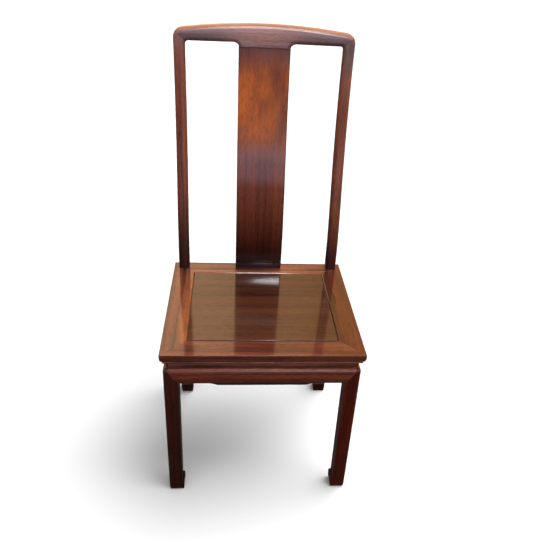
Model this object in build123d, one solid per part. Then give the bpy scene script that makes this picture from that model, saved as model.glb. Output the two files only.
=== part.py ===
"""Armless side chair with a waisted seat frame and a flush, round-cornered back.

Millimetres, +Z up. The chair faces -Y, and left and right are as seen from the front.
The origin is on the floor, in the middle of the whole chair's width and depth.
Every piece is modelled about the middle of the seat and moved to the origin when it is written.
"""
import os
from math import asin, degrees

from build123d import *

# Seat frame: four mitred rails round a flush panel
seat_width = 460.0
seat_depth = 420.0
seat_height = 435.0
rail_width = 56.0
rail_thickness = 26.0
edge_flat = 3.0  # upright band at the top of the moulded edge
edge_round_depth = 4.8  # the convex part of the moulding turns in by this much
cove_radius = 2.2
bead_radius = 2.0
arris_radius = 1.0  # softened top edge
frame_tenon_setback = 34.0  # from the seat's front or back edge to the through tenon
frame_tenon_width = 13.0
frame_tenon_thickness = 7.0
frame_tenon_rise = 11.5  # from the rail's underside

# Seat panel and its two dovetailed battens
panel_thickness = 12.0
panel_gap = 1.2  # open joint for the panel's movement
panel_bevel = 2.2  # chamfer on the frame's inner arris beside that joint
panel_tongue_length = 7.0
panel_tongue_thickness = 6.0
batten_spacing = 190.0
batten_width = 30.0
batten_neck_width = 22.0
batten_dovetail_width = 26.0
batten_dovetail_height = 3.0
batten_tenon_length = 14.0
batten_tenon_width = 20.0
batten_tenon_thickness = 5.0
batten_rise = 2.0  # from the frame's underside to the batten's

# Waist, aprons and legs
leg_inset = 5.0  # from the seat's edge to the legs' outer faces
leg_width = 35.0
ankle_width = 33.5
ankle_height = 36.0
hoof_width = 38.0
hoof_top = 25.0
hoof_bottom = 16.0
hoof_toe = 36.0  # width that the leg's inner face has at the floor
hoof_heel = 5.0  # the outer face turns in by this much at the floor
waist_height = 18.5
waist_thickness = 7.3
waist_tongue_thickness = 3.2
waist_tongue_height = 4.0
neck_strip = 3.8  # leg that shows beside each end of a waist board
joint_drop = 6.0  # upright start of the line between apron and leg, before its mitre
shoulder_depth = 8.7  # moulding shared by the aprons and the legs
shoulder_height = 11.5
face_flat = 8.0
face_falloff = 4.0  # the face has turned in by this much at the inner edge
apron_height = 41.0
apron_thickness = 16.0
apron_drop = 9.0  # the middle of each apron is this much deeper
apron_drop_start = 68.0  # from the leg's inner face
apron_drop_run = 25.0
knee_radius = 4.0  # rounds the corner between an apron's lower edge and a leg
key_setback = 11.5  # dovetailed keys on the leg, from its outer face to a key's middle
key_root_width = 3.5
key_tip_width = 6.5
key_tip = 27.0
key_top = 8.0  # below the apron's top
key_bottom = 29.0
stub_near = 21.5  # leg-top tenons, from the seat's two edges
stub_far = 34.0
stub_width = 10.0
stub_length = 5.0
stub_height = 8.0

# Back posts and crest rail
chair_height = 1054.5
back_depth = 29.0  # posts and crest rail, front to back
back_edge_round = 9.35  # along the posts and the crest rail
post_edge_inset = 13.2  # from the seat's side edge to the post's outer face
post_base_width = 28.5
post_top_width = 27.2
post_setback = 33.6  # from the seat's back edge to the posts' front faces
post_rake = 61.0
post_lower_handle = (-4.0, 0.30)  # bend: forward of the foot, share of the bent height
post_upper_handle = (-3.0, 0.45)  # bend: forward of the head, share of the bent height
post_tenon_width = 9.5
post_tenon_depth = 8.5
post_tenon_near = 23.0  # from the seat's two edges
post_tenon_length = 52.0
crest_end_height = 27.0
crest_rise = 15.5  # the middle of the crest above its ends
crest_corner_radius = 24.0
crest_bow = 6.0
window_radius = 9.0
lobe_drop = 10.0  # the crest's middle hangs below its underside
lobe_shoulder = 15.0
lobe_edge_round = 1.2  # round on the lobe's lower edges, over the splat
crest_tenon_width = 10.0
crest_tenon_depth = 9.0
crest_tenon_height = 20.0
crest_tenon_inset = 2.0

# Splat
splat_width = 125.0
splat_thickness = 10.0
splat_base_setback = 29.5  # from the seat's back edge to the splat's front face
splat_head_setback = 2.4  # from the crest rail's front face to the splat's
splat_lower_handle = (-30.0, 0.28)
splat_upper_handle = (-8.0, 0.55)
splat_tenon_width = 105.0
splat_tenon_thickness = 5.0
splat_tenon_length = 14.0
splat_arris = 2.5

# Clearances
fit = 0.15  # round each hidden tenon and tongue
end_room = 0.5  # past the end of each tenon and tongue

# Places that follow from those sizes
half_width = seat_width / 2
half_depth = seat_depth / 2
rail_underside = seat_height - rail_thickness
apron_top = rail_underside - waist_height
apron_end_bottom = apron_top - apron_height
apron_bottom = apron_end_bottom - apron_drop
knee_bottom = apron_end_bottom - knee_radius
joint_start = shoulder_depth + neck_strip
edge_inset = edge_round_depth + cove_radius
panel_underside = seat_height - panel_thickness
crest_end_top = chair_height - crest_rise
window_top = crest_end_top - crest_end_height
lobe_bottom = window_top - lobe_drop
straight_start = lobe_bottom - window_radius
post_front = half_depth - post_setback
crest_front = post_front + post_rake
post_outer = half_width - post_edge_inset
splat_base = half_depth - splat_base_setback
splat_top = crest_front + crest_bow + splat_head_setback
chair_back = crest_front + crest_bow + back_depth
origin_y = (chair_back - half_depth) / 2
waist_tongue_inset = shoulder_depth + (waist_thickness - waist_tongue_thickness) / 2
far = 2 * chair_height  # longer than any piece

ends = ("front", "back")
hands = ("left", "right")


def block(x, y, z):
    """A box given by its (low, high) in x, y and z."""
    size = (x[1] - x[0], y[1] - y[0], z[1] - z[0])
    middle = (sum(x) / 2, sum(y) / 2, sum(z) / 2)
    return Pos(*middle) * Box(*size)


def grown(x, y, z):
    """The same box with joint clearance all round."""
    return block(*[(low - fit, high + fit) for low, high in (x, y, z)])


def on_side(side, piece):
    """Move a piece modelled along x, with the seat's edge at y = 0, to one side of the seat."""
    places = {
        "front": Pos(0, -half_depth, 0),
        "back": Pos(0, half_depth, 0) * Rot(0, 0, 180),
        "left": Pos(-half_width, 0, 0) * Rot(0, 0, -90),
        "right": Pos(half_width, 0, 0) * Rot(0, 0, 90),
    }
    return places[side] * piece


def half_length(side):
    return half_width if side in ends else half_depth


def at_corner(end, hand, piece):
    """Move a piece modelled from the seat's corner inwards to one corner of the seat."""
    placed = Pos(-half_width, -half_depth, 0) * piece
    if hand == "right":
        placed = mirror(placed, about=Plane.YZ)
    if end == "back":
        placed = mirror(placed, about=Plane.XZ)
    return placed


def along_x(outline, half_span):
    """Extrude a section drawn as (distance in from the edge, height) along x."""
    start = Plane(origin=(-half_span, 0, 0), x_dir=(0, 1, 0), z_dir=(1, 0, 0))
    return extrude(start * outline, amount=2 * half_span)


def polygon(*points):
    return make_face(Polyline(*points, close=True))


# Seat frame -----------------------------------------------------------------------------


def rail_section():
    """Moulded outer edge, waist groove below, panel groove and chamfer on the inner edge."""
    top = seat_height
    bead_top = rail_underside + 2 * bead_radius
    cove_top = bead_top + cove_radius
    flat_bottom = top - edge_flat
    groove_low = panel_underside
    groove_high = panel_underside + panel_tongue_thickness + fit
    groove_end = rail_width - panel_tongue_length - panel_gap
    waist_low = leg_inset + waist_tongue_inset - fit
    waist_high = waist_low + waist_tongue_thickness + 2 * fit
    waist_top = rail_underside + waist_tongue_height + end_room
    moulding = [
        Line((0, top), (0, flat_bottom)),
        EllipticalCenterArc((edge_round_depth, flat_bottom), edge_round_depth,
                            flat_bottom - cove_top, 180, arc_size=90),
        CenterArc((edge_round_depth, bead_top), cove_radius, 90, -90),
        CenterArc((edge_inset, rail_underside + bead_radius), bead_radius, 90, 180),
    ]
    inside = Polyline(
        (edge_inset, rail_underside),
        (waist_low, rail_underside), (waist_low, waist_top),
        (waist_high, waist_top), (waist_high, rail_underside),
        (rail_width, rail_underside), (rail_width, groove_low),
        (groove_end, groove_low), (groove_end, groove_high),
        (rail_width, groove_high), (rail_width, top - panel_bevel),
        (rail_width - panel_bevel, top), (0, top),
    )
    section = make_face(moulding + inside.edges())
    return fillet(section.vertices().group_by(Axis.X)[0].group_by(Axis.Y)[-1], arris_radius)


def rail_blank(side):
    return along_x(rail_section(), half_length(side))


def mitred_rail(side):
    long_half = half_length(side)
    short_half = long_half - rail_width
    plan = polygon((-long_half, 0), (long_half, 0), (short_half, rail_width), (-short_half, rail_width))
    return rail_blank(side) & extrude(plan, amount=far)


def frame_tenon(hand, box=block):
    """Through tenon of a front or back rail, out to the side rail's edge."""
    reach = frame_tenon_setback + frame_tenon_width
    low = rail_underside + frame_tenon_rise
    tenon = box((-half_width, -half_width + reach),
                (frame_tenon_setback, reach), (low, low + frame_tenon_thickness))
    return mirror(tenon, about=Plane.YZ) if hand == "right" else tenon


def leg_stubs(box=block, extra=0.0):
    """Two stub tenons on a leg's top, one into each rail of the corner."""
    height = (rail_underside - fit, rail_underside + stub_height + extra)
    near = (stub_near, stub_near + stub_width)
    away = (stub_far, stub_far + stub_length)
    return box(near, away, height) + box(away, near, height)


def post_tenon(box=block, extra=0.0):
    low = seat_height - post_tenon_length - extra
    return box((post_tenon_near, post_tenon_near + post_tenon_width),
               (post_tenon_near, post_tenon_near + post_tenon_depth), (low, seat_height + fit))


def splat_foot(box=block, extra=0.0):
    side = (splat_thickness - splat_tenon_thickness) / 2
    return box((-splat_tenon_width / 2, splat_tenon_width / 2),
               (splat_base + side, splat_base + splat_thickness - side),
               (seat_height - splat_tenon_length - extra, seat_height))


def rail_housings():
    """Everything that is let into the rails from outside them."""
    cuts = [at_corner(end, hand, leg_stubs(grown, end_room)) for end in ends for hand in hands]
    cuts += [at_corner("back", hand, post_tenon(grown)) for hand in hands]
    cuts += [splat_foot(grown, end_room)]
    cuts += [batten_tenons(hand, grown, end_room) for hand in hands]
    return cuts


def seat_rails():
    housings = rail_housings()
    rails = {}
    for side in ends:
        rail = on_side(side, mitred_rail(side))
        for hand in hands:
            rail += on_side(side, frame_tenon(hand)) & on_side(hand, rail_blank(hand))
        rails[side] = rail.cut(*housings)
    for hand in hands:
        rail = on_side(hand, mitred_rail(hand))
        mortises = [on_side(end, frame_tenon(side, grown)) for end in ends for side in hands]
        rails[hand] = rail.cut(*mortises, *housings)
    return rails


# Seat panel -----------------------------------------------------------------------------


def batten_section():
    """Body below the panel with a dovetail that slides into it."""
    low = rail_underside + batten_rise
    half_body, half_neck, half_tail = batten_width / 2, batten_neck_width / 2, batten_dovetail_width / 2
    top = panel_underside + batten_dovetail_height
    return polygon(
        (-half_body, low), (half_body, low), (half_body, panel_underside), (half_neck, panel_underside),
        (half_tail, top), (-half_tail, top), (-half_neck, panel_underside), (-half_body, panel_underside))


def batten_place(hand):
    return batten_spacing / 2 if hand == "right" else -batten_spacing / 2


def batten_tenons(hand, box=block, extra=0.0):
    middle = batten_place(hand)
    reach = half_depth - rail_width
    low = (rail_underside + batten_rise + panel_underside - batten_tenon_thickness) / 2
    return box((middle - batten_tenon_width / 2, middle + batten_tenon_width / 2),
               (-reach - batten_tenon_length - extra, reach + batten_tenon_length + extra),
               (low, low + batten_tenon_thickness))


def seat_batten(hand):
    reach = half_depth - rail_width
    body = Pos(batten_place(hand), reach, 0) * extrude(Plane.XZ * batten_section(), amount=2 * reach)
    return body + batten_tenons(hand)


def seat_panel():
    field_x = half_width - rail_width - panel_gap
    field_y = half_depth - rail_width - panel_gap
    tongue = panel_tongue_length
    field = block((-field_x, field_x), (-field_y, field_y), (panel_underside, seat_height))
    field = chamfer(field.faces().sort_by(Axis.Z)[-1].edges(), arris_radius)
    panel = field + block((-field_x - tongue, field_x + tongue), (-field_y - tongue, field_y + tongue),
                          (panel_underside, panel_underside + panel_tongue_thickness))
    for hand in hands:
        slot = extrude(Plane.XZ * batten_section(), amount=far, both=True)
        panel -= Pos(batten_place(hand), 0, 0) * slot
    return panel


# Waist and aprons -----------------------------------------------------------------------


def face_curve(inner_edge, length):
    """Moulding of an apron or a leg, as (distance along, depth from the outer face).

    It has turned in by face_falloff at the inner edge, and may go on past it.
    """
    flat_end = shoulder_height + face_flat
    run = inner_edge - flat_end
    radius = (run**2 + face_falloff**2) / (2 * face_falloff)
    turn = degrees(asin((length - flat_end) / radius))
    return [
        EllipticalCenterArc((shoulder_height, shoulder_depth), shoulder_height, shoulder_depth, 180, arc_size=90),
        Line((shoulder_height, 0), (flat_end, 0)),
        CenterArc((flat_end, radius), radius, 270, turn),
    ]


def face_shape(inner_edge, length, thickness):
    """The region behind that moulding, down to a straight back."""
    curve = face_curve(inner_edge, length)
    start, end = curve[0] @ 0, curve[-1] @ 1
    back = Polyline((end.X, end.Y), (end.X, thickness), (start.X, thickness), (start.X, start.Y))
    return make_face(curve + back.edges())


def corner_plan(side, thickness):
    """Plan of a board that meets the legs' necks with bevelled ends, from the leg's outer face."""
    reach = half_length(side) - leg_inset
    right = [(reach - joint_start, 0), (reach - joint_start, shoulder_depth),
             (reach - neck_strip - thickness, thickness)]
    left = [(-x, y) for x, y in reversed(right)]
    return extrude(Pos(0, leg_inset, 0) * polygon(*right, *left), amount=far)


def waist_board(side):
    tongue = waist_tongue_height
    low = waist_tongue_inset
    span = half_length(side)
    board = block((-span, span), (shoulder_depth, shoulder_depth + waist_thickness),
                  (apron_top, rail_underside))
    board += block((-span, span), (low, low + waist_tongue_thickness),
                   (apron_top - tongue, rail_underside + tongue))
    return Pos(0, leg_inset, 0) * board & corner_plan(side, apron_thickness)


def apron_outline(side):
    """Front view between the legs' inner edges: two rounded corners and a deeper middle."""
    inner = half_length(side) - leg_inset - leg_width
    slope_start = inner - apron_drop_start
    slope_end = slope_start - apron_drop_run
    middle = (slope_start + slope_end) / 2
    left = [
        Line((-inner, apron_top), (-inner, knee_bottom)),
        CenterArc((-inner + knee_radius, knee_bottom), knee_radius, 180, -90),
        Line((-inner + knee_radius, apron_end_bottom), (-slope_start, apron_end_bottom)),
        Bezier((-slope_start, apron_end_bottom), (-middle, apron_end_bottom),
               (-middle, apron_bottom), (-slope_end, apron_bottom)),
    ]
    right = [mirror(edge, about=Plane.YZ) for edge in left]
    top = Line((-inner, apron_top), (inner, apron_top))
    bottom = Line((-slope_end, apron_bottom), (slope_end, apron_bottom))
    return make_face([top, bottom] + left + right)


def apron_mitres(side):
    """Front view of everything above the two joints between an apron and its legs."""
    reach = half_length(side) - leg_inset
    run, drop = leg_width - joint_start, apron_height - joint_drop
    ends_at = [(joint_start, apron_top), (joint_start, apron_top - joint_drop),
               (joint_start + 2 * run, apron_top - joint_drop - 2 * drop)]
    left = [(-reach + inset, z) for inset, z in ends_at]
    return polygon(*left, *[(-x, z) for x, z in reversed(left)])


def apron_moulding(side, front_view):
    """A front view of the apron given its moulded section."""
    section = face_shape(apron_height, apron_height + apron_drop, apron_thickness)
    upright = Pos(leg_inset, apron_top) * Rot(0, 0, -90) * section
    return along_x(upright, half_length(side)) & extrude(Plane.XZ * front_view, amount=far, both=True)


def apron_blank(side):
    inner = half_length(side) - leg_inset - leg_width
    head = polygon((-inner - leg_width, apron_top), (inner + leg_width, apron_top),
                   (inner, apron_end_bottom), (-inner, apron_end_bottom))
    front_view = (apron_outline(side) + head) & apron_mitres(side)
    return apron_moulding(side, front_view) & corner_plan(side, apron_thickness)


def leg_key(extra=0.0):
    """Dovetailed key on the leg's joint face, in plan from the seat's corner."""
    root, tip = key_root_width / 2 + extra, key_tip_width / 2 + extra
    plan = polygon((key_setback, key_setback - root), (key_tip + extra, key_setback - tip),
                   (key_tip + extra, key_setback + tip), (key_setback, key_setback + root))
    low = apron_top - key_bottom
    return Pos(leg_inset, leg_inset, low) * extrude(plan, amount=key_bottom - key_top + extra)


def both_keys(extra=0.0):
    key = leg_key(extra)
    return [key, mirror(key, about=Plane(origin=(0, 0, 0), z_dir=(1, -1, 0)))]


def apron(side):
    groove = block((-far, far), (leg_inset + waist_tongue_inset - fit,
                   leg_inset + waist_tongue_inset + waist_tongue_thickness + fit),
                   (apron_top - waist_tongue_height - end_room, apron_top))
    keys = [at_corner(end, hand, key) for end in ends for hand in hands
            for key in both_keys(fit)]
    return on_side(side, apron_blank(side) - groove).cut(*keys)


# Legs -----------------------------------------------------------------------------------


def leg_silhouette():
    """Side view of a leg as (distance in from its outer face, height)."""
    outer = [
        Line((0, apron_top), (0, hoof_bottom)),
        Bezier((0, hoof_bottom), (0, hoof_bottom / 2), (hoof_heel, 0)),
    ]
    inner = [
        Line((hoof_heel, 0), (hoof_toe, 0)),
        Bezier((hoof_toe, 0), (hoof_width, hoof_bottom / 2), (hoof_width, hoof_bottom)),
        Line((hoof_width, hoof_bottom), (hoof_width, hoof_top)),
        Bezier((hoof_width, hoof_top), (hoof_width, (hoof_top + ankle_height) / 2),
               (ankle_width, (hoof_top + ankle_height) / 2), (ankle_width, ankle_height)),
        Line((ankle_width, ankle_height), (leg_width, knee_bottom)),
        Line((leg_width, knee_bottom), (leg_width, apron_top)),
        Line((leg_width, apron_top), (0, apron_top)),
    ]
    return make_face(outer + inner)


def leg(end, hand):
    """Moulded leg with an inward hoof, its neck, and its tenons, at its own corner."""
    plan_size = max(hoof_width, leg_width)
    across = extrude(face_shape(leg_width, plan_size, plan_size), amount=apron_top)
    swap = Plane(origin=(0, 0, 0), z_dir=(1, -1, 0))
    side_view = extrude(Plane.XZ * leg_silhouette(), amount=-far)
    body = across & side_view & shoulder_envelope()
    body = body & mirror(body, about=swap)
    neck = block((shoulder_depth, leg_width), (shoulder_depth, leg_width), (apron_top, rail_underside))
    whole = at_corner(end, hand, Pos(leg_inset, leg_inset, 0) * (body + neck))
    knee = leg_inset + leg_width + knee_radius
    corner = at_corner(end, hand, block((0, knee), (0, knee), (0, apron_top)))
    for side in (end, hand):
        whole += on_side(side, apron_moulding(side, apron_outline(side))) & corner
    for side in (end, hand):
        whole = whole.cut(on_side(side, apron_blank(side)), on_side(side, waist_board(side)))
    for piece in both_keys() + [leg_stubs()]:
        whole += at_corner(end, hand, piece)
    if end == "back":
        whole -= at_corner(end, hand, post_tenon(grown, end_room))
    return whole


def shoulder_envelope():
    """Everything behind the moulding's shoulder, so that the leg's head turns in with the apron."""
    curve = face_curve(leg_width, leg_width)[0]
    lower = Polyline((shoulder_height, 0), (apron_top, 0), (apron_top, far), (0, far), (0, shoulder_depth))
    region = make_face([curve] + lower.edges())
    down = Plane(origin=(0, 0, apron_top), x_dir=(0, 0, -1), z_dir=(1, 0, 0))
    return extrude(down * region, amount=far)


# Back -----------------------------------------------------------------------------------


def back_band(controls, thickness, top, half_span):
    """Bent slab between two curved faces, straight above the curve's end; controls are (y, z)."""
    front = Bezier(*controls)
    rear = Bezier(*[(y + thickness, z) for y, z in controls])
    start, end = controls[0], controls[-1]
    edges = [front, rear, Line(start, (start[0] + thickness, start[1]))]
    if top > end[1]:
        edges += [Line(end, (end[0], top)), Line((end[0] + thickness, end[1]), (end[0] + thickness, top))]
    edges += [Line((end[0], top), (end[0] + thickness, top))]
    return extrude(Plane.YZ * make_face(edges), amount=half_span, both=True)


def back_outline():
    """Front view of posts and crest rail together, with the lobe over the splat."""
    inner_base = post_outer - post_base_width
    inner_top = post_outer - post_top_width
    lobe_half = splat_width / 2
    left = [
        Line((-post_outer, crest_end_top), (-post_outer, seat_height)),
        Line((-post_outer, seat_height), (-inner_base, seat_height)),
        Line((-inner_base, seat_height), (-inner_top, window_top)),
        Line((-inner_top, window_top), (-lobe_half - lobe_shoulder, window_top)),
        EllipticalCenterArc((-lobe_half - lobe_shoulder, lobe_bottom), lobe_shoulder, lobe_drop, 0, arc_size=90),
    ]
    right = [mirror(edge, about=Plane.YZ) for edge in left]
    top = ThreePointArc((-post_outer, crest_end_top), (0, chair_height), (post_outer, crest_end_top))
    bottom = Line((-lobe_half, lobe_bottom), (lobe_half, lobe_bottom))
    outline = make_face([top, bottom] + left + right)
    outer = [v for v in outline.vertices() if abs(v.X) > post_outer - fit and v.Y > window_top]
    outline = fillet(outer, crest_corner_radius)
    window = [v for v in outline.vertices()
              if abs(abs(v.X) - inner_top) < fit and abs(v.Y - window_top) < fit]
    return fillet(window, window_radius)


def crest_band():
    """Crest rail's thickness in plan: it bows back between the posts."""
    inner_top = post_outer - post_top_width
    half = inner_top - window_radius
    front = Spline((-half, crest_front), (0, crest_front + crest_bow), (half, crest_front),
                   tangents=[(1, 0), (1, 0)])
    rear = Pos(0, back_depth) * front
    ends = [Line((x, crest_front), (x, crest_front + back_depth)) for x in (-half, half)]
    return extrude(make_face([front, rear] + ends), amount=far)


def crest_region():
    """Front view of the space that the crest rail fills, down to its two mitres."""
    inner_top = post_outer - post_top_width
    run, rise = post_top_width, crest_end_height
    outside = (-inner_top - 2 * run, window_top + 2 * rise)
    inside = (-inner_top + run, window_top - rise)
    left = [(inside[0], lobe_bottom - rise), inside, outside, (outside[0], far)]
    right = [(-x, z) for x, z in reversed(left)]
    return extrude(Plane.XZ * polygon(*left, *right), amount=far, both=True)


def bend(foot, head, lower_handle, upper_handle):
    """Control points (y, z) of a side curve from one (y, z) up to another."""
    rise = head[1] - foot[1]
    return [foot, (foot[0] + lower_handle[0], foot[1] + lower_handle[1] * rise),
            (head[0] + upper_handle[0], foot[1] + upper_handle[1] * rise), head]


def post_controls():
    return bend((post_front, seat_height), (crest_front, straight_start),
                post_lower_handle, post_upper_handle)


def splat_controls():
    return bend((splat_base, seat_height), (splat_top, lobe_bottom),
                splat_lower_handle, splat_upper_handle)


def crest_tenon(hand, box=block, extra=0.0):
    inner = post_outer - post_top_width + crest_tenon_inset
    middle = crest_front + back_depth / 2
    tenon = box((-inner - crest_tenon_width, -inner),
                (middle - crest_tenon_depth / 2, middle + crest_tenon_depth / 2),
                (window_top - window_radius, window_top + crest_tenon_height + extra))
    return mirror(tenon, about=Plane.YZ) if hand == "right" else tenon


def splat_head(box=block, extra=0.0):
    side = (splat_thickness - splat_tenon_thickness) / 2
    return box((-splat_tenon_width / 2, splat_tenon_width / 2),
               (splat_top + side, splat_top + splat_thickness - side),
               (lobe_bottom, lobe_bottom + splat_tenon_length + extra))


def at_lobe_bottom(edge):
    middle = edge.center()
    return abs(middle.Z - lobe_bottom) < fit and abs(middle.X) < splat_width / 2 + fit


def back_pieces():
    """Posts and crest rail, rounded as one bent frame and parted at the mitres."""
    post_slab = back_band(post_controls(), back_depth, far, far)
    crest_slab = crest_band()
    half = post_outer - post_top_width - window_radius
    middle = block((-half, half), (-far, far), (0, far))
    frame = extrude(Plane.XZ * back_outline(), amount=far, both=True)
    frame = (frame & (post_slab - middle)) + (frame & crest_slab)
    edges = [e for e in frame.edges()
             if abs(e.tangent_at(0.5).Y) < 0.9 and e.center().Z > seat_height + fit]
    frame = fillet([e for e in edges if not at_lobe_bottom(e)], back_edge_round)
    frame = fillet([e for e in frame.edges() if at_lobe_bottom(e)], lobe_edge_round)
    crest = frame & crest_region()
    posts = frame - crest_region()
    crest = crest.cut(*[crest_tenon(hand, grown, end_room) for hand in hands], splat_head(grown, end_room))
    pieces = {"crest_rail": crest}
    for hand in hands:
        side = posts.solids().sort_by(Axis.X)[-1 if hand == "right" else 0]
        foot = at_corner("back", hand, post_tenon())
        pieces["back_post_" + hand] = side + crest_tenon(hand) + foot
    return pieces


def back_splat():
    slab = back_band(splat_controls(), splat_thickness, lobe_bottom, splat_width / 2)
    long_edges = [e for e in slab.edges() if e.length > (lobe_bottom - seat_height) * 0.9]
    return fillet(long_edges, splat_arris) + splat_foot() + splat_head()


# The whole chair ------------------------------------------------------------------------


def chair():
    pieces = {}
    for side, rail in seat_rails().items():
        pieces[f"seat_{side}_rail"] = rail
    pieces["seat_panel"] = seat_panel()
    for hand in hands:
        pieces["seat_batten_" + hand] = seat_batten(hand)
    for side in ends + hands:
        pieces["waist_" + side] = on_side(side, waist_board(side))
        pieces["apron_" + side] = apron(side)
    for end in ends:
        for hand in hands:
            pieces[f"leg_{end}_{hand}"] = leg(end, hand)
    pieces.update(back_pieces())
    pieces["back_splat"] = back_splat()
    return pieces


os.makedirs("parts", exist_ok=True)
for name, piece in chair().items():
    placed = Pos(0, -origin_y, 0) * piece
    export_step(placed, f"parts/{name}.step")
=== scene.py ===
from math import radians

import bmesh
import bpy
from mathutils import Matrix, Vector


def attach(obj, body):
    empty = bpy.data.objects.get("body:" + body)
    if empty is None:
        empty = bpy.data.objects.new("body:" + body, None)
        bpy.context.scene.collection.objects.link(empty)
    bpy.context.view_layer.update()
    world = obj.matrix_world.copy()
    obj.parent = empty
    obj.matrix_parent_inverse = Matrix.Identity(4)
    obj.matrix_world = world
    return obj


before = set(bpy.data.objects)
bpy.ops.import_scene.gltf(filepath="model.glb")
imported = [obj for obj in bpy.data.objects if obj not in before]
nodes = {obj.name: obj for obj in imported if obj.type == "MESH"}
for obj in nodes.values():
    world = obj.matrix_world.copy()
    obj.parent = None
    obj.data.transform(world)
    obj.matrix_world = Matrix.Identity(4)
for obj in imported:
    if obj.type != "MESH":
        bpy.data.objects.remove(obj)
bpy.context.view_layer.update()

scene = bpy.context.scene
scene.view_settings.view_transform = "Standard"
bpy.ops.object.select_all(action="DESELECT")
print("frame loaded,", len(nodes), "pieces")


def addNode(tree, kind, place, **settings):
    node = tree.nodes.new(kind)
    node.location = place
    for name, value in settings.items():
        setattr(node, name, value)
    return node


def fillSockets(tree, sockets, values):
    for socket, value in zip(sockets, values):
        if isinstance(value, float):
            socket.default_value = value
        elif isinstance(value, tuple):
            socket.default_value = (*value, 1)
        else:
            tree.links.new(value, socket)


def addNoise(tree, place, vector, scale, detail):
    noise = addNode(tree, "ShaderNodeTexNoise", place)
    noise.inputs["Scale"].default_value = scale
    noise.inputs["Detail"].default_value = detail
    tree.links.new(vector, noise.inputs["Vector"])
    return noise


def addRange(tree, place, source, ends, to=(0.0, 1.0), shape="SMOOTHSTEP"):
    span = addNode(tree, "ShaderNodeMapRange", place, interpolation_type=shape)
    for name, value in zip(("From Min", "From Max", "To Min", "To Max"), (*ends, *to)):
        span.inputs[name].default_value = value
    tree.links.new(source, span.inputs[0])
    return span.outputs[0]


def addMath(tree, place, operation, first, second=0.0):
    math = addNode(tree, "ShaderNodeMath", place, operation=operation)
    fillSockets(tree, math.inputs, (first, second))
    return math.outputs[0]


def addMix(tree, place, factor, first, second, blend="MIX"):
    mix = addNode(tree, "ShaderNodeMix", place, data_type="RGBA", blend_type=blend)
    fillSockets(tree, [socket for socket in mix.inputs if socket.enabled], (factor, first, second))
    return [socket for socket in mix.outputs if socket.enabled][0]


def addTint(tree, place, colour, tint):
    return addMix(tree, place, 1.0, colour, tint, "MULTIPLY")


def emptyTree(owner):
    owner.use_nodes = True
    owner.node_tree.nodes.clear()
    return owner.node_tree


# Lengths are in metres and scales per metre. Pairs are where something starts and ends.
rosewood = {
    "vein": (0.022, 0.008, 0.006),
    "heart": (0.125, 0.034, 0.019),
    "pale": (0.200, 0.066, 0.034),
    "amber": (0.425, 0.132, 0.032),
    "colourStops": (0.44, 0.60, 0.78),  # of vein, heart and pale wood along the figure
    "fibre": 0.045,                     # a streak's width over its length
    "streakScale": 44.0,
    "fineScale": 260.0,
    "ringScale": 19.0,
    "ringWaver": 1.6,
    "poreScale": 1500.0,
    "streakShare": 0.75,
    "fineShare": 0.25,
    "ringShare": 0.15,
    "figureMiddle": 0.61,               # contrast spreads the figure about this level
    "figureReach": (0.11, 1.11),
    "wander": 0.016,                    # how far the grain drifts sideways
    "wanderScale": 5.0,
    "wanderStretch": 0.35,
    "patchScale": 10.0,
    "amberStart": (0.62, 0.25),         # on the patches, and how far a stronger amber lowers it
    "amberFull": (0.80, 0.20),
    "amberBase": 0.3,
    "poreWidth": (0.36, 0.48),
    "poreDark": 0.55,
    "roughness": (0.36, 0.52),
    "roughPatches": (0.30, 0.70),
    "specular": 0.05,
    "bumpStrength": 0.12,
    "bumpDepth": 0.0003,
}

# Wear of edges and lacquer, and the colours of painted light and sheen on some pieces.
wearAndPaintedLight = {
    "worn": (0.300, 0.140, 0.085),      # on sharp edges
    "edgeWidth": 0.0022,
    "edgeTurn": (0.995, 0.86),          # cosine between the face and its rounded edge
    "edgeWear": 0.9,
    "paintedTopLight": (0.700, 0.305, 0.170),    # painted light on the top of the crest rail, orange as if lit from above
    "paintedTopLightSlope": (0.10, 0.55),        # how far a face looks up
    "paintedTopLightGrain": (0.38, 0.62),
    "paintedTopLightVeins": (0.62, 1.25),
    "paintedSheen": (0.050, 0.055, 0.075),     # painted sheen near the top of the back, a pale reflection
    "paintedSheenPatches": (0.30, 0.62),
    "paintedSheenDepth": (0.5, 1.3),
    "paintedCrestHighlight": (0.280, 0.160, 0.180),   # painted highlight below the crest rail's top edge
    "paintedMiddleLightSpread": (0.02, 0.15),      # painted highlight, from the middle, to each side
    "lacquerPores": (0.36, 0.50),
    "lacquerInPores": 0.6,
    "lacquerOnEdges": 0.4,
    "dullFoot": 0.014,                  # half the height over which the lacquer ends
    "dullHead": 0.04,
    "dullLacquer": 0.05,                # what is left of it between
}

# A look changes what it names here. It holds for all pieces whose names start like its own.
plainLook = {
    "grain": "x",                # the way that it runs
    "depth": 1.0,                # how fast the figure changes from front to back
    "contrast": 1.0,
    "tone": (1.0, 1.0, 1.0),
    "amber": 0.15,
    "amberFrom": (-2.0, -1.0),   # heights over which it comes
    "amberTo": (2.0, 3.0),       # and goes
    "paintedLightBelow": (-1.0, 0.0, (1.0, 1.0, 1.0)),  # painted shade below a height, and on the bead a painted highlight: full below, gone above, tint
    "head": None,                # painted sheen at the head: gone below, full above, tint
    "paintedMiddleLight": 1.0,              # painted highlight: how much brighter the middle is
    "paintedSheen": (),                 # painted sheen: start, end and strength, each added to the last
    "highlightBand": None,               # painted highlight: arch, start and end of its band
    "paintedTopLight": 0.0,
    "lacquer": 1.0,
    "lacquerIndex": 1.5,
    "haze": 0.12,                # roughness of the lacquer
    "dull": None,                # start and end of the dull part, lacquer below it
}
paintedBeadHighlight = (0.4128, 0.4138, (2.7, 2.9, 3.0))  # painted highlight: the bead under the seat's edge is painted paler
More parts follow.
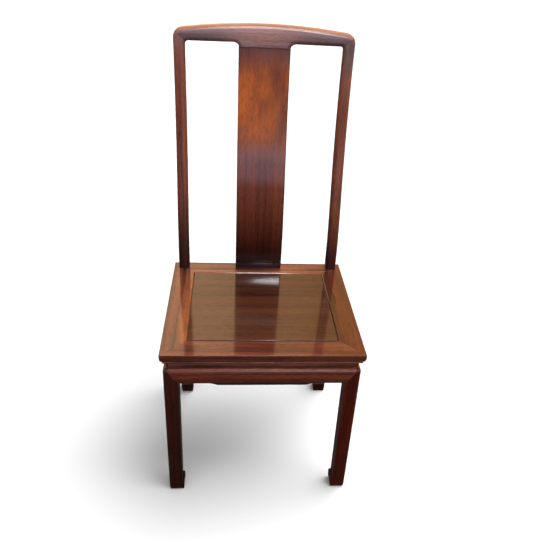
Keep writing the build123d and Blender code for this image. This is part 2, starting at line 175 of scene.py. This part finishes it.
looks = {
    "seat_panel": {"tone": (0.46, 0.49, 0.38), "contrast": 0.55, "amber": 0.05, "haze": 0.09},
    "seat_front_rail": {"tone": (1.15, 0.95, 0.85), "amber": 0.25, "haze": 0.08, "paintedLightBelow": paintedBeadHighlight},
    "seat_left_rail": {"grain": "y", "tone": (1.2, 1.1, 0.9), "amber": 0.4, "haze": 0.08,
                       "paintedLightBelow": paintedBeadHighlight},
    "seat_right_rail": {"grain": "y", "tone": (0.7, 0.5, 0.4), "amber": 0.2, "haze": 0.08,
                        "paintedLightBelow": paintedBeadHighlight},
    "seat_back_rail": {"tone": (1.55, 1.42, 1.45), "haze": 0.08, "paintedLightBelow": paintedBeadHighlight},
    "seat_batten": {"grain": "y"},
    "waist": {"tone": (2.4, 2.4, 2.6)},
    "waist_left": {"grain": "y"},
    "waist_right": {"grain": "y"},
    # Darker below a height, toward the apron's lower edge, the legs' feet and the foot of the back,
    # is painted shade.
    "apron": {"tone": (2.1, 1.65, 1.6), "contrast": 0.7, "amber": 0.2, "lacquer": 0.22, "haze": 0.35,
              "paintedLightBelow": (0.350, 0.372, (0.40, 0.50, 0.55))},
    "apron_left": {"grain": "y"},
    "apron_right": {"grain": "y"},
    "leg": {"grain": "z", "tone": (0.55, 0.30, 0.24), "contrast": 0.6, "amber": 0.0, "lacquer": 0.5,
            "paintedLightBelow": (0.0, 0.36, (0.6, 0.6, 0.6))},
    # The front legs' different tones are painted light: the left one darker as in shade, the right
    # one redder as lit.
    "leg_front_left": {"tone": (0.46, 0.32, 0.34)},
    "leg_front_right": {"tone": (0.92, 0.36, 0.24)},
    "back_post": {"grain": "z", "depth": 0.2, "tone": (3.3, 3.25, 3.25), "contrast": 0.5,
                  "lacquer": 0.6, "haze": 0.2, "paintedLightBelow": (0.44, 0.80, (0.13, 0.07, 0.07)),
                  "paintedSheen": ((0.86, 0.98, 0.5), (0.95, 1.02, 0.9))},
    # The heads of the back posts are tinted as painted sheen, bluer on the left and less red on the
    # right.
    "back_post_left": {"head": (0.98, 1.03, (0.95, 1.20, 1.40))},
    "back_post_right": {"head": (0.92, 1.0, (0.62, 0.92, 0.98))},
    "back_splat": {"grain": "z", "depth": 0.15, "tone": (1.85, 1.30, 0.90), "contrast": 0.38,
                   "amber": 1.08, "amberFrom": (0.73, 0.84), "amberTo": (0.92, 1.0),
                   "lacquer": 0.62, "lacquerIndex": 1.6, "haze": 0.08, "dull": (0.482, 0.62, 1.6),
                   "paintedLightBelow": (0.44, 0.69, (0.11, 0.07, 0.08)),
                   "paintedSheen": ((0.66, 0.70, 0.8), (0.74, 0.785, -0.8), (0.93, 1.0, 0.7))},
    # The crest rail's bluer tone is partly painted sheen.
    "crest_rail": {"depth": 0.3, "tone": (1.45, 1.9, 2.45), "contrast": 0.5, "amber": 0.05,
                   "lacquer": 0.6, "haze": 0.28, "paintedMiddleLight": 2.9, "paintedSheen": ((0.86, 0.90, 0.8),),
                   "paintedTopLight": 1.0, "highlightBand": (0.10, 1.029, 1.038)},
}

# Each piece has its own place in the log, by its order among the names.
sawing = {
    "length": 0.37,              # along the log, from one piece to the next
    "side": 0.19,                # from the heart, and what a piece adds to it
    "sideStep": 0.013,
    "sideSteps": 5,
    "front": 0.12,
    "frontStep": 0.017,
    "frontSteps": 7,
}


def logVectors(tree, place, look, heart):
    turns = {"x": (0, 0, 0), "y": (0, 0, radians(-90)), "z": (0, radians(90), 0)}
    log = addNode(tree, "ShaderNodeMapping", (-1600, 0))  # the grain runs along its X
    log.inputs["Location"].default_value = heart
    log.inputs["Rotation"].default_value = turns[look["grain"]]
    tree.links.new(place, log.inputs["Vector"])
    slow = addNode(tree, "ShaderNodeMapping", (-1400, -200))
    slow.inputs["Scale"].default_value = (rosewood["wanderStretch"], 1, 1)
    tree.links.new(log.outputs[0], slow.inputs["Vector"])

    drift = addNoise(tree, (-1200, -200), slow.outputs[0], rosewood["wanderScale"], 2.0)
    centred = addNode(tree, "ShaderNodeVectorMath", (-1000, -200), operation="SUBTRACT")
    centred.inputs[1].default_value = (0.5, 0.5, 0.5)
    tree.links.new(drift.outputs["Color"], centred.inputs[0])
    wander = addNode(tree, "ShaderNodeVectorMath", (-800, -200), operation="MULTIPLY_ADD")
    wander.inputs[1].default_value = (0, rosewood["wander"], rosewood["wander"])
    tree.links.new(centred.outputs[0], wander.inputs[0])
    tree.links.new(log.outputs[0], wander.inputs[2])
    fibre = addNode(tree, "ShaderNodeMapping", (-600, -200))
    fibre.inputs["Scale"].default_value = (rosewood["fibre"], look["depth"], 1)
    tree.links.new(wander.outputs[0], fibre.inputs["Vector"])
    return slow.outputs[0], fibre.outputs[0]


def woodFields(tree, look, heart):
    coords = addNode(tree, "ShaderNodeTexCoord", (-1800, 0))
    place = addNode(tree, "ShaderNodeSeparateXYZ", (-300, -1000))
    tree.links.new(coords.outputs["Object"], place.inputs[0])
    slow, fibre = logVectors(tree, coords.outputs["Object"], look, heart)

    streaks = addNoise(tree, (-300, 300), fibre, rosewood["streakScale"], 4.0)
    fine = addNoise(tree, (-300, 50), fibre, rosewood["fineScale"], 2.0)
    pores = addNoise(tree, (-300, -500), fibre, rosewood["poreScale"], 1.0)
    patches = addNoise(tree, (-300, -750), slow, rosewood["patchScale"], 4.0)
    rings = addNode(tree, "ShaderNodeTexWave", (-300, -200), wave_type="RINGS",
                    rings_direction="X", wave_profile="SAW")
    rings.inputs["Scale"].default_value = rosewood["ringScale"]
    rings.inputs["Distortion"].default_value = rosewood["ringWaver"]
    rings.inputs["Detail"].default_value = 2.0
    tree.links.new(fibre, rings.inputs["Vector"])

    figure = addMath(tree, (0, 200), "MULTIPLY", streaks.outputs["Fac"], rosewood["streakShare"])
    fined = addMath(tree, (0, 50), "MULTIPLY", fine.outputs["Fac"], rosewood["fineShare"])
    ringed = addMath(tree, (0, -100), "MULTIPLY", rings.outputs["Fac"], rosewood["ringShare"])
    streaky = addMath(tree, (200, 100), "ADD", figure, fined)
    return {
        "across": place.outputs["X"],
        "height": place.outputs["Z"],
        "pores": pores.outputs["Fac"],
        "patches": patches.outputs["Fac"],
        "streaks": streaky,
        "figure": addMath(tree, (350, 100), "ADD", streaky, ringed),
    }


def freshColour(tree, look, fields):
    middle, spread = rosewood["figureMiddle"], 0.5 / look["contrast"]
    figured = addRange(tree, (500, 350), fields["figure"], (middle - spread, middle + spread),
                       rosewood["figureReach"], "LINEAR")
    tone = addNode(tree, "ShaderNodeValToRGB", (650, 200))
    tree.links.new(figured, tone.inputs[0])
    first, second, third = rosewood["colourStops"]
    stops = tone.color_ramp.elements
    stops[0].position, stops[0].color = first, (*rosewood["vein"], 1)
    stops[1].position, stops[1].color = third, (*rosewood["pale"], 1)
    stops.new(second).color = (*rosewood["heart"], 1)

    amber = look["amber"]
    (start, startDrop), (full, fullDrop) = rosewood["amberStart"], rosewood["amberFull"]
    glow = addRange(tree, (0, -750), fields["patches"],
                    (start - startDrop * amber, full - fullDrop * amber),
                    (0.0, min(1.0, rosewood["amberBase"] + amber)))
    for ends, to in ((look["amberFrom"], (0.0, 1.0)), (look["amberTo"], (1.0, 0.0))):
        level = addRange(tree, (0, -1000), fields["height"], ends, to)
        glow = addMath(tree, (300, -750), "MULTIPLY", glow, level)
    colour = addMix(tree, (900, 200), glow, tone.outputs[0], rosewood["amber"])
    specks = addRange(tree, (300, -500), fields["pores"], rosewood["poreWidth"],
                      (rosewood["poreDark"], 1.0))
    colour = addTint(tree, (1100, 200), colour, specks)
    return addTint(tree, (1300, 200), colour, look["tone"])


# Painted light and shade: darker or paler below a height, a brighter middle, sheen, a highlight band
# and tinted heads.
def paintedShadingColour(tree, look, fields, colour):
    # painted shade below a height; on the bead the same step paints a highlight
    *ends, tint = look["paintedLightBelow"]
    paintedShading = addRange(tree, (1100, -100), fields["height"], ends, (1.0, 0.0))
    colour = addMix(tree, (1500, 200), paintedShading, colour, addTint(tree, (1300, 0), colour, tint))
    # painted highlight: the middle is made brighter than the ends
    if look["paintedMiddleLight"] != 1.0:
        side = addMath(tree, (1100, 500), "ABSOLUTE", fields["across"])
        litMiddle = addRange(tree, (1300, 500), side, wearAndPaintedLight["paintedMiddleLightSpread"], (look["paintedMiddleLight"], 1.0))
        colour = addTint(tree, (1550, 400), colour, litMiddle)
    # painted sheen: pale bands added at given heights
    if look["paintedSheen"]:
        bands = [addRange(tree, (1100, 700), fields["height"], ends, (0.0, strength))
                 for *ends, strength in look["paintedSheen"]]
        risen = bands[0]
        for band in bands[1:]:
            risen = addMath(tree, (1250, 700), "ADD", risen, band)
        sheenShare = addRange(tree, (1100, 850), fields["patches"], wearAndPaintedLight["paintedSheenPatches"],
                         wearAndPaintedLight["paintedSheenDepth"])
        sheenShare = addMath(tree, (1400, 700), "MULTIPLY", sheenShare, risen)
        colour = addMix(tree, (1600, 500), sheenShare, colour, wearAndPaintedLight["paintedSheen"], "ADD")
    # painted highlight: a pinkish band that follows the arch below the top edge
    if look["highlightBand"]:
        arch, *ends = look["highlightBand"]
        bent = addMath(tree, (1100, 1500), "MULTIPLY", fields["across"], fields["across"])
        bent = addMath(tree, (1250, 1500), "MULTIPLY", bent, arch)
        level = addMath(tree, (1400, 1500), "ADD", bent, fields["height"])
        band = addRange(tree, (1550, 1500), level, ends)
        colour = addMix(tree, (1650, 600), band, colour, wearAndPaintedLight["paintedCrestHighlight"], "ADD")
    # painted sheen: the head of a piece is tinted towards the pale reflection
    if look["head"]:
        *ends, tint = look["head"]
        risen = addRange(tree, (1550, 1700), fields["height"], ends)
        colour = addMix(tree, (1650, 400), risen, colour, addTint(tree, (1600, 300), colour, tint))
    return colour


# Painted light on faces that look up, and real wear on the edges.
def topLitAndWornColour(tree, look, fields, edge, colour):
    # painted light: faces that look up take the colour of light falling on them from above
    if look["paintedTopLight"]:
        face = addNode(tree, "ShaderNodeNewGeometry", (1100, 1000))
        upward = addNode(tree, "ShaderNodeSeparateXYZ", (1250, 1000))
        tree.links.new(face.outputs["Normal"], upward.inputs[0])
        topLit = addRange(tree, (1400, 1000), upward.outputs["Z"], wearAndPaintedLight["paintedTopLightSlope"],
                         (0.0, look["paintedTopLight"]))
        veins = addRange(tree, (1400, 1200), fields["streaks"], wearAndPaintedLight["paintedTopLightGrain"],
                         wearAndPaintedLight["paintedTopLightVeins"])
        topLitColour = addTint(tree, (1550, 1200), wearAndPaintedLight["paintedTopLight"], veins)
        colour = addMix(tree, (1700, 700), topLit, colour, topLitColour)
    rub = addMath(tree, (1500, -300), "MULTIPLY", edge, fields["patches"])
    rub = addMath(tree, (1650, -300), "MULTIPLY", rub, wearAndPaintedLight["edgeWear"])
    return addMix(tree, (1800, 200), rub, colour, wearAndPaintedLight["worn"])


def edgeFields(tree):
    softened = addNode(tree, "ShaderNodeBevel", (900, -400), samples=6)
    softened.inputs["Radius"].default_value = wearAndPaintedLight["edgeWidth"]
    face = addNode(tree, "ShaderNodeNewGeometry", (900, -550))
    turned = addNode(tree, "ShaderNodeVectorMath", (1100, -400), operation="DOT_PRODUCT")
    tree.links.new(softened.outputs[0], turned.inputs[0])
    tree.links.new(face.outputs["Normal"], turned.inputs[1])
    edge = addRange(tree, (1300, -400), turned.outputs["Value"], wearAndPaintedLight["edgeTurn"])
    return softened.outputs[0], edge


def lacquerWeight(tree, look, fields, edge):
    full = look["lacquer"]
    coat = addRange(tree, (1500, -750), fields["pores"], wearAndPaintedLight["lacquerPores"],
                    (wearAndPaintedLight["lacquerInPores"] * full, full))
    thinned = addRange(tree, (1300, -700), edge, (0.0, 1.0), (1.0, wearAndPaintedLight["lacquerOnEdges"]))
    coat = addMath(tree, (1650, -650), "MULTIPLY", coat, thinned)
    if look["dull"]:
        start, end, foot = look["dull"]
        below = addRange(tree, (1300, -900), fields["height"],
                         (start - wearAndPaintedLight["dullFoot"], start + wearAndPaintedLight["dullFoot"]),
                         (foot, wearAndPaintedLight["dullLacquer"]))
        above = addRange(tree, (1300, -1100), fields["height"],
                         (end - wearAndPaintedLight["dullHead"], end + wearAndPaintedLight["dullHead"]))
        kept = addMath(tree, (1500, -1000), "MAXIMUM", below, above)
        coat = addMath(tree, (1700, -750), "MULTIPLY", coat, kept)
    return coat


def rosewoodMaterial(name, look, heart):
    material = bpy.data.materials.new(name)
    tree = emptyTree(material)
    output = addNode(tree, "ShaderNodeOutputMaterial", (2400, 0))
    shader = addNode(tree, "ShaderNodeBsdfPrincipled", (2100, 0))
    tree.links.new(shader.outputs[0], output.inputs[0])
    shader.inputs["Specular IOR Level"].default_value = rosewood["specular"]
    shader.inputs["Coat Roughness"].default_value = look["haze"]
    shader.inputs["Coat IOR"].default_value = look["lacquerIndex"]

    fields = woodFields(tree, look, heart)
    softened, edge = edgeFields(tree)
    colour = paintedShadingColour(tree, look, fields, freshColour(tree, look, fields))
    rough = addRange(tree, (1500, -550), fields["patches"], rosewood["roughPatches"],
                     rosewood["roughness"])
    bump = addNode(tree, "ShaderNodeBump", (1500, -1200))
    bump.inputs["Strength"].default_value = rosewood["bumpStrength"]
    bump.inputs["Distance"].default_value = rosewood["bumpDepth"]
    tree.links.new(fields["pores"], bump.inputs["Height"])
    tree.links.new(softened, bump.inputs["Normal"])
    for socket, source in (("Base Color", topLitAndWornColour(tree, look, fields, edge, colour)),
                           ("Roughness", rough),
                           ("Coat Weight", lacquerWeight(tree, look, fields, edge)),
                           ("Normal", bump.outputs[0])):
        tree.links.new(source, shader.inputs[socket])
    return material


def dressPiece(name, piece, order):
    look = dict(plainLook)
    for start, changes in looks.items():
        if name.startswith(start):
            look.update(changes)
    heart = (sawing["length"] * order,
             sawing["side"] + sawing["sideStep"] * (order % sawing["sideSteps"]),
             sawing["front"] + sawing["frontStep"] * (order % sawing["frontSteps"]))
    piece.data.materials.clear()
    piece.data.materials.append(rosewoodMaterial("rosewood_" + name, look, heart))


pieceOrder = sorted(nodes)
for order, name in enumerate(pieceOrder):
    dressPiece(name, nodes[name], order)
print("rosewood dressed")


# The back rail's through tenons fill the mortises in the side rails' ends.
railTenon = {
    "setback": 0.034,       # from the seat's back edge
    "width": 0.013,
    "rise": 0.0115,         # from the rail's underside
    "thickness": 0.007,
    "endSteps": 10,         # strips that follow the moulded edge
    "feelerStart": 0.1,     # past the seat, to feel for that edge
    "touch": 1e-5,          # corners this near to a line are on it
}


def selectCorners(block, chosen):
    bpy.ops.mesh.select_all(action="DESELECT")
    shape = bmesh.from_edit_mesh(block.data)
    for corner in shape.verts:
        corner.select = chosen(corner.co)
    shape.select_flush(True)
    bmesh.update_edit_mesh(block.data)


def addRailTenon(hand, side):
    corners = [corner.co for corner in nodes["seat_back_rail"].data.vertices]
    halfWidth = max(corner.x for corner in corners)
    backEdge = max(corner.y for corner in corners)
    low = min(corner.z for corner in corners) + railTenon["rise"]
    width, thickness, steps = (railTenon[size] for size in ("width", "thickness", "endSteps"))
    heights = [low + thickness * step / steps for step in range(steps + 1)]
    sideRail = nodes["seat_" + hand + "_rail"]
    feeler = side * (halfWidth + railTenon["feelerStart"])
    ends = [sideRail.ray_cast((feeler, 0, height), (-side, 0, 0))[1].x for height in heights]

    # a block from the mitre to the seat's side edge
    mitre = side * (halfWidth - railTenon["setback"] - width)
    edge = side * halfWidth
    middle = backEdge - railTenon["setback"] - width / 2
    bpy.ops.mesh.primitive_cube_add(
        size=1, location=((mitre + edge) / 2, middle, low + thickness / 2))
    tenon = bpy.context.object
    tenon.name = tenon.data.name = "seat_back_rail_tenon_" + hand
    tenon.scale = (abs(edge - mitre), width, thickness)
    bpy.ops.object.transform_apply()

    # cut to the mitre at one end and to the moulded edge at the other
    touch = railTenon["touch"]
    bpy.ops.object.mode_set(mode="EDIT")
    selectCorners(tenon, lambda co: abs(co.x - mitre) < touch and co.y > middle)
    bpy.ops.transform.translate(value=(side * width, 0, 0))
    for height in heights[1:-1]:
        bpy.ops.mesh.select_all(action="SELECT")
        bpy.ops.mesh.bisect(plane_co=(0, 0, height), plane_no=(0, 0, 1))
    for height, end in zip(heights, ends):
        selectCorners(tenon, lambda co: abs(co.x - edge) < touch and abs(co.z - height) < touch)
        bpy.ops.transform.translate(value=(end - edge, 0, 0))
    bpy.ops.object.mode_set(mode="OBJECT")
    tenon.select_set(False)
    dressPiece(tenon.name, tenon, pieceOrder.index("seat_back_rail"))
    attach(tenon, "root")


for hand, side in (("left", -1), ("right", 1)):
    addRailTenon(hand, side)
print("back rail's tenons made")


# Pairs are of the direction's X, Y or Z, from minus one to one.
studio = {
    "floorSize": 80.0,
    "floorColour": (0.94, 0.94, 0.94),
    "floorBounce": (0.06, 0.05, 0.045),  # what the wood is lit by from below
    "zenith": 0.32,
    "zenithHeight": 0.85,
    "horizon": 0.08,
    "background": (1.0, 1.0, 1.0),
    "frontPanel": (1.0, 1.0, 1.0),
    "frontGloss": (1.20, 1.45, 1.75),    # the same panel as the lacquer shows it
    "frontSpan": (-0.25, -0.60),
    "frontFoot": (0.076, 0.090),
    "warmLeft": (2.6, 1.66, 0.98),       # tan reflectors behind the chair, for gloss only
    "warmRight": (0.95, 0.47, 0.12),
    "warmSpan": (0.35, 0.70),
    "warmFoot": (-0.02, 0.12),
    "warmChange": (-0.20, 0.30),         # from the left colour to the right one
    "warmRise": (0.50, 0.60),
    "warmGain": (0.95, 1.20),            # below and above that rise
    "warmCeiling": (2.4, 1.15, 0.55),    # also for gloss only
    "ceilingFoot": (0.78, 0.88),
    "sunPower": 3.3,
    "sunAngle": 56.0,
    "sunFrom": (0.49, 0.17, 1.0),
}

# For gloss only. A window reaches the pieces whose names start so, or all where none is named.
windows = {
    "window_top": {
        "power": 9.0, "size": (0.60, 0.32),
        "place": (0.10, -0.85, 1.85), "target": (0.10, 0.0, 0.55), "reached": (),
    },
    "window_ahead": {
        "power": 48.0, "size": (0.50, 0.32),
        "place": (0.33, -2.17, 1.42), "target": (0.0, 0.15, 0.47),
        "reached": ("crest_rail", "back_post", "back_splat", "apron_front", "waist_front"),
    },
    "window_glint": {
        "power": 0.9, "size": (0.12, 0.15),
        "place": (0.13, -1.33, 1.85), "target": (0.0, 0.15, 0.47), "reached": (),
    },
}


def studioFloor():
    bpy.ops.mesh.primitive_plane_add(size=studio["floorSize"], location=(0, 0, 0))
    floor = bpy.context.object
    floor.name = "studio_floor"
    floor.visible_glossy = False
    paint = bpy.data.materials.new("floor_paint")
    tree = emptyTree(paint)
    output = addNode(tree, "ShaderNodeOutputMaterial", (600, 0))
    diffuse = addNode(tree, "ShaderNodeBsdfDiffuse", (400, 0))
    rays = addNode(tree, "ShaderNodeLightPath", (-200, 200))
    colour = addMix(tree, (100, 0), rays.outputs["Is Camera Ray"], studio["floorBounce"],
                    studio["floorColour"])
    tree.links.new(colour, diffuse.inputs["Color"])
    tree.links.new(diffuse.outputs[0], output.inputs[0])
    floor.data.materials.append(paint)


def studioAir():
    scene.world = bpy.data.worlds.new("studio_air")
    tree = emptyTree(scene.world)
    coords = addNode(tree, "ShaderNodeTexCoord", (-900, 0))
    split = addNode(tree, "ShaderNodeSeparateXYZ", (-700, 0))
    tree.links.new(coords.outputs["Generated"], split.inputs[0])
    x, y, z = split.outputs
    rays = addNode(tree, "ShaderNodeLightPath", (-700, -400))
    gloss = rays.outputs["Is Glossy Ray"]

    dome = addRange(tree, (-400, 200), z, (0.0, studio["zenithHeight"]),
                    (studio["horizon"], studio["zenith"]))
    panel = addMath(tree, (-200, 500), "MULTIPLY",
                    addRange(tree, (-400, 500), y, studio["frontSpan"]),
                    addRange(tree, (-400, 750), z, studio["frontFoot"]))
    front = addMix(tree, (-200, 900), gloss, studio["frontPanel"], studio["frontGloss"])
    air = addMix(tree, (0, 300), panel, dome, front)

    warm = addMath(tree, (-200, -100), "MULTIPLY",
                   addRange(tree, (-400, -100), y, studio["warmSpan"]),
                   addRange(tree, (-400, 0), z, studio["warmFoot"]))
    warm = addMath(tree, (-50, -100), "MULTIPLY", warm, gloss)
    aside = addRange(tree, (-400, -600), x, studio["warmChange"])
    card = addMix(tree, (0, -300), aside, studio["warmLeft"], studio["warmRight"])
    climb = addRange(tree, (-200, -500), z, studio["warmRise"], studio["warmGain"])
    air = addMix(tree, (200, 200), warm, air, addTint(tree, (100, -300), card, climb))

    overhead = addRange(tree, (-400, -900), z, studio["ceilingFoot"])
    overhead = addMath(tree, (-200, -900), "MULTIPLY", overhead, gloss)
    air = addMix(tree, (300, 200), overhead, air, studio["warmCeiling"])
    air = addMix(tree, (400, 200), rays.outputs["Is Camera Ray"], air, studio["background"])
    shine = addNode(tree, "ShaderNodeBackground", (900, 0))
    output = addNode(tree, "ShaderNodeOutputWorld", (1200, 0))
    tree.links.new(air, shine.inputs["Color"])
    tree.links.new(shine.outputs[0], output.inputs[0])


def addLamp(name, kind, power, direction):
    lamp = bpy.data.objects.new(name, bpy.data.lights.new(name, kind))
    scene.collection.objects.link(lamp)
    lamp.data.energy = power
    lamp.rotation_euler = Vector(direction).to_track_quat("Z", "Y").to_euler()
    return lamp


def studioSun():
    sun = addLamp("soft_sun", "SUN", studio["sunPower"], studio["sunFrom"])
    sun.data.angle = radians(studio["sunAngle"])
    sun.visible_glossy = False


def glossWindow(name, window):
    direction = Vector(window["place"]) - Vector(window["target"])
    lamp = addLamp(name, "AREA", window["power"], direction)
    lamp.data.shape = "ELLIPSE"
    lamp.data.size, lamp.data.size_y = window["size"]
    lamp.location = window["place"]
    lamp.visible_diffuse = False
    if window["reached"]:
        lit = bpy.data.collections.new(name + "_reaches")
        for piece in nodes:
            if piece.startswith(window["reached"]):
                lit.objects.link(nodes[piece])
        lamp.light_linking.receiver_collection = lit


studioFloor()
studioAir()
studioSun()
for name, window in windows.items():
    glossWindow(name, window)
print("studio lit")


# Angles are in degrees, the lens and the sensor in millimetres.
view = {
    "place": (-0.07526, -1.25113, 1.22806),
    "heading": 5.0426,
    "lookDown": 30.073,
    "roll": 3.158,
    "lens": 37.938,
    "sensorWidth": 36.0,
}


def placeCamera():
    camera = bpy.data.objects.new("camera", bpy.data.cameras.new("camera"))
    scene.collection.objects.link(camera)
    camera.data.sensor_width = view["sensorWidth"]
    camera.data.lens = view["lens"]
    turn = (Matrix.Rotation(-radians(view["heading"]), 3, "Z")
            @ Matrix.Rotation(radians(90 - view["lookDown"]), 3, "X")
            @ Matrix.Rotation(radians(view["roll"]), 3, "Z"))
    camera.location = view["place"]
    camera.rotation_euler = turn.to_euler()
    scene.camera = camera


placeCamera()
print("camera placed")
